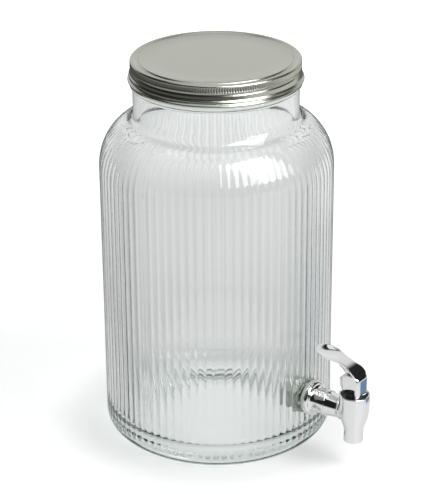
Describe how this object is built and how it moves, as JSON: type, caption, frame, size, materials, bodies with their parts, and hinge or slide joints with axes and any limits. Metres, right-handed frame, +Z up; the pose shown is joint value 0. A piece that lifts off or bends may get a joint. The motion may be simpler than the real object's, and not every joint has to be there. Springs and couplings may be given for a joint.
{
  "type": "detergent dispenser jar",
  "caption": "Round fluted glass jar with a screw-on metal lid and a chromed push-lever tap near its base.",
  "frame": {"origin": "on the jar's axis, in the plane of the ring it stands on", "axes": "+Z up; the tap points along -Y; +X to the right of someone who faces the tap from behind the jar"},
  "size_m": [0.172, 0.2234, 0.2916],
  "materials": {
    "glass": "clear pressed glass, fluted on its outside",
    "lid_metal": "satin tinplate",
    "seal_rubber": "translucent silicone",
    "chrome": "chrome plate on moulded plastic",
    "nut_plastic": "moulded",
    "bonnet_plastic": "moulded",
    "stem_plastic": "moulded",
    "spring_steel": "drawn wire"
  },
  "bodies": {
    "jar": {"glass_jar": "glass", "tap_body": "chrome", "tap_collar": "chrome", "outer_washer": "seal_rubber", "inner_washer": "seal_rubber", "lock_nut": "nut_plastic", "tap_bonnet": "bonnet_plastic"},
    "seal": {"lid_seal": "seal_rubber"},
    "lid": {"lid_shell": "lid_metal"},
    "stem": {"valve_stem": "stem_plastic", "return_spring": "spring_steel", "seat_cup": "seal_rubber"},
    "lever": {"lever": "chrome", "lever_pin": "spring_steel"}
  },
  "joints": [
    {"name": "lid_lift", "type": "slide", "parent": "jar", "child": "seal", "axis": [0, 0, 1], "range_m": [0, 0.06]},
    {"name": "lid_turn", "type": "hinge", "parent": "seal", "child": "lid", "pos_m": [0, 0, 0.28], "axis": [0, 0, 1], "range_deg": [0, 360]},
    {"name": "stem_lift", "type": "slide", "parent": "jar", "child": "stem", "axis": [0, 0, 1], "range_m": [0, 0.00154], "deforming": ["return_spring", "seat_cup"]},
    {"name": "lever_press", "type": "hinge", "parent": "stem", "child": "lever", "pos_m": [0, -0.126, 0.0675], "axis": [-1, 0, 0], "range_deg": [0, 20], "stiffness_Nm_per_rad": 0.1, "springref_deg": -11.46}
  ],
  "couplings": [
    {"joint": "lever_press", "follows": "stem_lift", "rad_per_m": 226.8}
  ]
}
